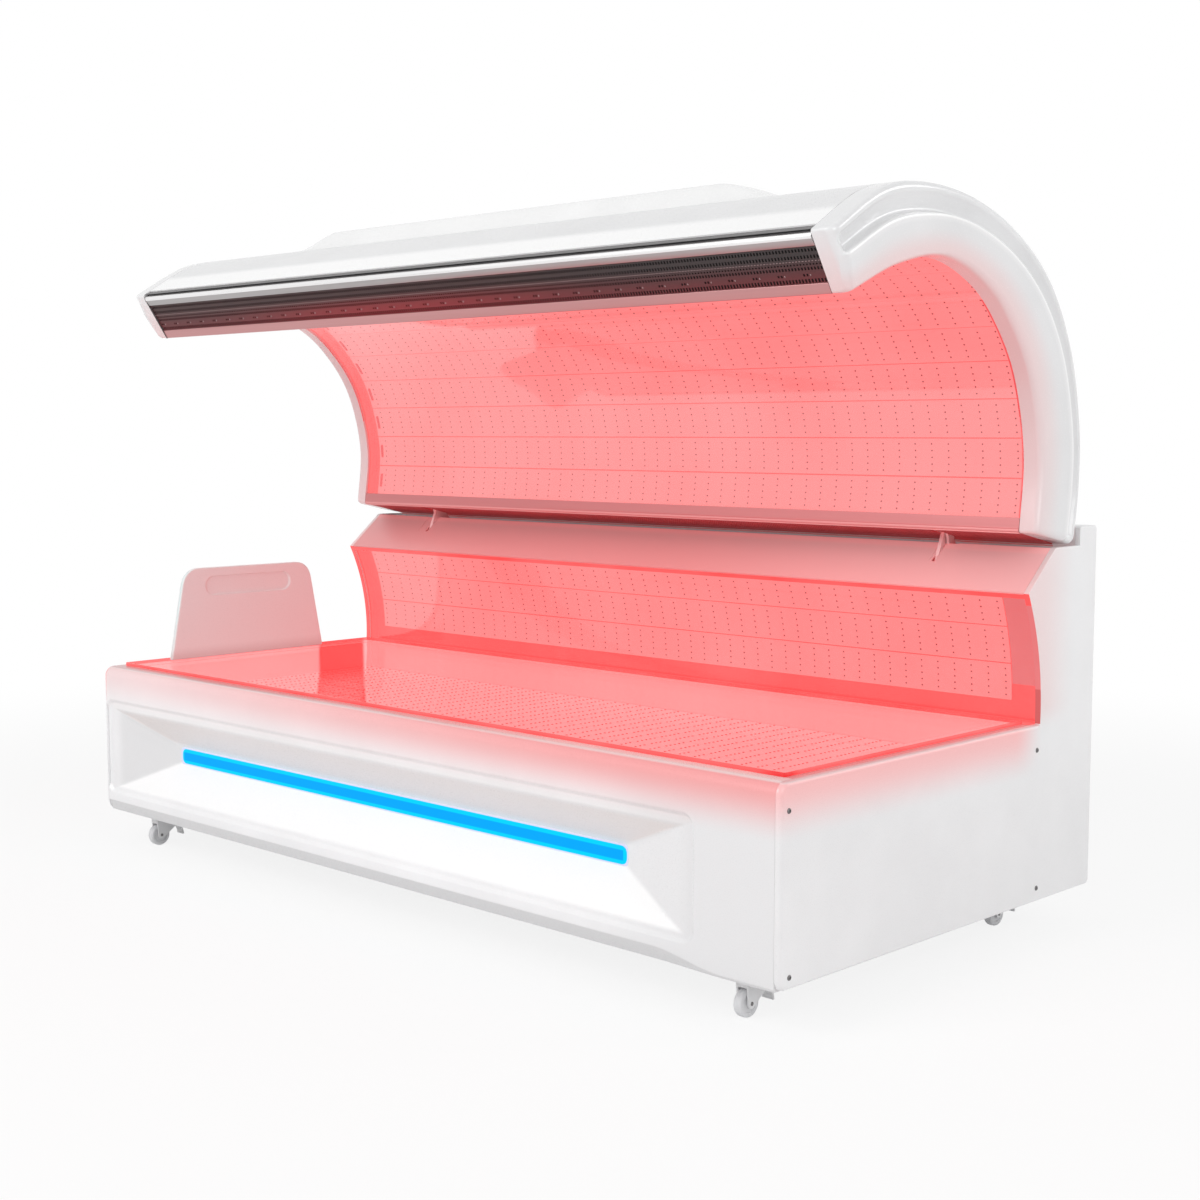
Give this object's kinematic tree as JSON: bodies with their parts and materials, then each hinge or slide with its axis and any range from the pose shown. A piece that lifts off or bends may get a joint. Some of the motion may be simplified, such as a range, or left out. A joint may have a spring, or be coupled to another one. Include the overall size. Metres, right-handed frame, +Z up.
{
  "type": "red light therapy bed",
  "caption": "Lie-on light bed: boxy base with a clear lit deck, curved lit back panel and headboard, a C-shaped lit canopy hinged over it, blue front light strip and casters.",
  "frame": {"origin": "on the floor under the middle of the bed", "axes": "+X along the bed to the foot end, +Y to the closed rear side, +Z up"},
  "size_m": [2.23, 1.07, 1.5514],
  "materials": {
    "white_shell": "gloss white moulding",
    "clear_acrylic": "clear acrylic lit red from behind",
    "light_board": "aluminium circuit board with red lights",
    "blue_light": "blue light diffuser",
    "aluminium_rail": "satin anodised",
    "dark_grille": "dark perforated sheet",
    "painted_steel": "grey powder coat",
    "case_aluminium": "plain cases",
    "caster_plastic": "light grey moulding",
    "wheel_tread": "light grey tread",
    "black_plastic": "black moulding",
    "strut_steel": "polished rod"
  },
  "bodies": {
    "base": {"base_frame": "painted_steel", "base_pan": "painted_steel", "front_fascia": "white_shell", "front_light_diffuser": "blue_light", "front_light_board": "light_board", "left_end_panel": "white_shell", "right_end_panel": "white_shell", "rear_panel": "white_shell", "ledge_cover": "white_shell", "deck_rim": "white_shell", "bed_acrylic": "clear_acrylic", "bed_led_board": "light_board", "back_acrylic": "clear_acrylic", "back_led_strip_1": "light_board", "back_led_strip_2": "light_board", "back_led_strip_3": "light_board", "headboard": "white_shell", "left_hinge_bracket": "painted_steel", "right_hinge_bracket": "painted_steel", "power_supply": "case_aluminium", "control_box": "case_aluminium", "power_inlet": "black_plastic"},
    "canopy": {"canopy_shell": "white_shell", "canopy_top_housing": "white_shell", "canopy_left_end_cap": "white_shell", "canopy_right_end_cap": "white_shell", "front_upper_rail": "aluminium_rail", "front_grille": "dark_grille", "front_lower_rail": "aluminium_rail", "bottom_rail": "aluminium_rail", "bottom_grille": "dark_grille", "canopy_acrylic": "clear_acrylic", "canopy_led_board_1": "light_board", "canopy_led_board_2": "light_board", "canopy_led_board_3": "light_board", "canopy_led_board_4": "light_board", "canopy_led_board_5": "light_board", "canopy_led_board_6": "light_board", "left_hinge_arm": "painted_steel", "right_hinge_arm": "painted_steel", "fan_frame": "black_plastic"},
    "fan_rotor": {"fan_rotor": "black_plastic"},
    "power_switch_rocker": {"power_switch_rocker": "black_plastic"},
    "left_strut_cylinder": {"left_strut_cylinder": "painted_steel"},
    "left_strut_rod": {"left_strut_rod": "strut_steel"},
    "right_strut_cylinder": {"right_strut_cylinder": "painted_steel"},
    "right_strut_rod": {"right_strut_rod": "strut_steel"},
    "front_left_caster_fork": {"front_left_caster_fork": "caster_plastic"},
    "front_left_caster_wheel": {"front_left_caster_wheel": "wheel_tread"},
    "front_left_caster_pedal": {"front_left_caster_pedal": "caster_plastic"},
    "front_right_caster_fork": {"front_right_caster_fork": "caster_plastic"},
    "front_right_caster_wheel": {"front_right_caster_wheel": "wheel_tread"},
    "front_right_caster_pedal": {"front_right_caster_pedal": "caster_plastic"},
    "rear_left_caster_fork": {"rear_left_caster_fork": "caster_plastic"},
    "rear_left_caster_wheel": {"rear_left_caster_wheel": "wheel_tread"},
    "rear_left_caster_pedal": {"rear_left_caster_pedal": "caster_plastic"},
    "rear_right_caster_fork": {"rear_right_caster_fork": "caster_plastic"},
    "rear_right_caster_wheel": {"rear_right_caster_wheel": "wheel_tread"},
    "rear_right_caster_pedal": {"rear_right_caster_pedal": "caster_plastic"}
  },
  "joints": [
    {"name": "canopy_hinge", "type": "hinge", "parent": "base", "child": "canopy", "pos_m": [0, 0.372, 0.838], "axis": [1, 0, 0], "range_deg": [0, 48]},
    {"name": "left_strut_tilt", "type": "hinge", "parent": "base", "child": "left_strut_cylinder", "pos_m": [-0.853, 0.41, 0.226], "axis": [1, 0, 0], "range_deg": [-8.7, 0]},
    {"name": "left_strut_slide", "type": "slide", "parent": "left_strut_cylinder", "child": "left_strut_rod", "axis": [0, -0.0468, 0.9989], "range_m": [0, 0.0486]},
    {"name": "right_strut_tilt", "type": "hinge", "parent": "base", "child": "right_strut_cylinder", "pos_m": [0.853, 0.41, 0.226], "axis": [1, 0, 0], "range_deg": [-8.7, 0]},
    {"name": "right_strut_slide", "type": "slide", "parent": "right_strut_cylinder", "child": "right_strut_rod", "axis": [0, -0.0468, 0.9989], "range_m": [0, 0.0486]},
    {"name": "fan_spin", "type": "hinge", "parent": "canopy", "child": "fan_rotor", "pos_m": [0, -0.05, 1.51], "axis": [0, 0, 1], "continuous": true},
    {"name": "power_switch_rock", "type": "hinge", "parent": "base", "child": "power_switch_rocker", "pos_m": [0.9, 0.528, 0.2215], "axis": [1, 0, 0], "range_deg": [0, 20]},
    {"name": "front_left_caster_swivel", "type": "hinge", "parent": "base", "child": "front_left_caster_fork", "pos_m": [-0.97, -0.445, 0.06], "axis": [0, 0, 1], "continuous": true},
    {"name": "front_left_caster_roll", "type": "hinge", "parent": "front_left_caster_fork", "child": "front_left_caster_wheel", "pos_m": [-0.97, -0.465, 0.027], "axis": [1, 0, 0], "continuous": true},
    {"name": "front_left_caster_brake", "type": "hinge", "parent": "front_left_caster_fork", "child": "front_left_caster_pedal", "pos_m": [-0.97, -0.428, 0.05], "axis": [1, 0, 0], "range_deg": [-12, 0]},
    {"name": "front_right_caster_swivel", "type": "hinge", "parent": "base", "child": "front_right_caster_fork", "pos_m": [0.97, -0.445, 0.06], "axis": [0, 0, 1], "continuous": true},
    {"name": "front_right_caster_roll", "type": "hinge", "parent": "front_right_caster_fork", "child": "front_right_caster_wheel", "pos_m": [0.97, -0.465, 0.027], "axis": [1, 0, 0], "continuous": true},
    {"name": "front_right_caster_brake", "type": "hinge", "parent": "front_right_caster_fork", "child": "front_right_caster_pedal", "pos_m": [0.97, -0.428, 0.05], "axis": [1, 0, 0], "range_deg": [-12, 0]},
    {"name": "rear_left_caster_swivel", "type": "hinge", "parent": "base", "child": "rear_left_caster_fork", "pos_m": [-0.97, 0.39, 0.06], "axis": [0, 0, 1], "continuous": true},
    {"name": "rear_left_caster_roll", "type": "hinge", "parent": "rear_left_caster_fork", "child": "rear_left_caster_wheel", "pos_m": [-0.97, 0.37, 0.027], "axis": [1, 0, 0], "continuous": true},
    {"name": "rear_left_caster_brake", "type": "hinge", "parent": "rear_left_caster_fork", "child": "rear_left_caster_pedal", "pos_m": [-0.97, 0.407, 0.05], "axis": [1, 0, 0], "range_deg": [-12, 0]},
    {"name": "rear_right_caster_swivel", "type": "hinge", "parent": "base", "child": "rear_right_caster_fork", "pos_m": [0.97, 0.39, 0.06], "axis": [0, 0, 1], "continuous": true},
    {"name": "rear_right_caster_roll", "type": "hinge", "parent": "rear_right_caster_fork", "child": "rear_right_caster_wheel", "pos_m": [0.97, 0.37, 0.027], "axis": [1, 0, 0], "continuous": true},
    {"name": "rear_right_caster_brake", "type": "hinge", "parent": "rear_right_caster_fork", "child": "rear_right_caster_pedal", "pos_m": [0.97, 0.407, 0.05], "axis": [1, 0, 0], "range_deg": [-12, 0]}
  ],
  "couplings": [
    {"joint": "left_strut_tilt", "follows": "canopy_hinge", "ratio": -0.17777},
    {"joint": "left_strut_slide", "follows": "canopy_hinge", "m_per_rad": 0.057553},
    {"joint": "right_strut_tilt", "follows": "canopy_hinge", "ratio": -0.17777},
    {"joint": "right_strut_slide", "follows": "canopy_hinge", "m_per_rad": 0.057553}
  ]
}
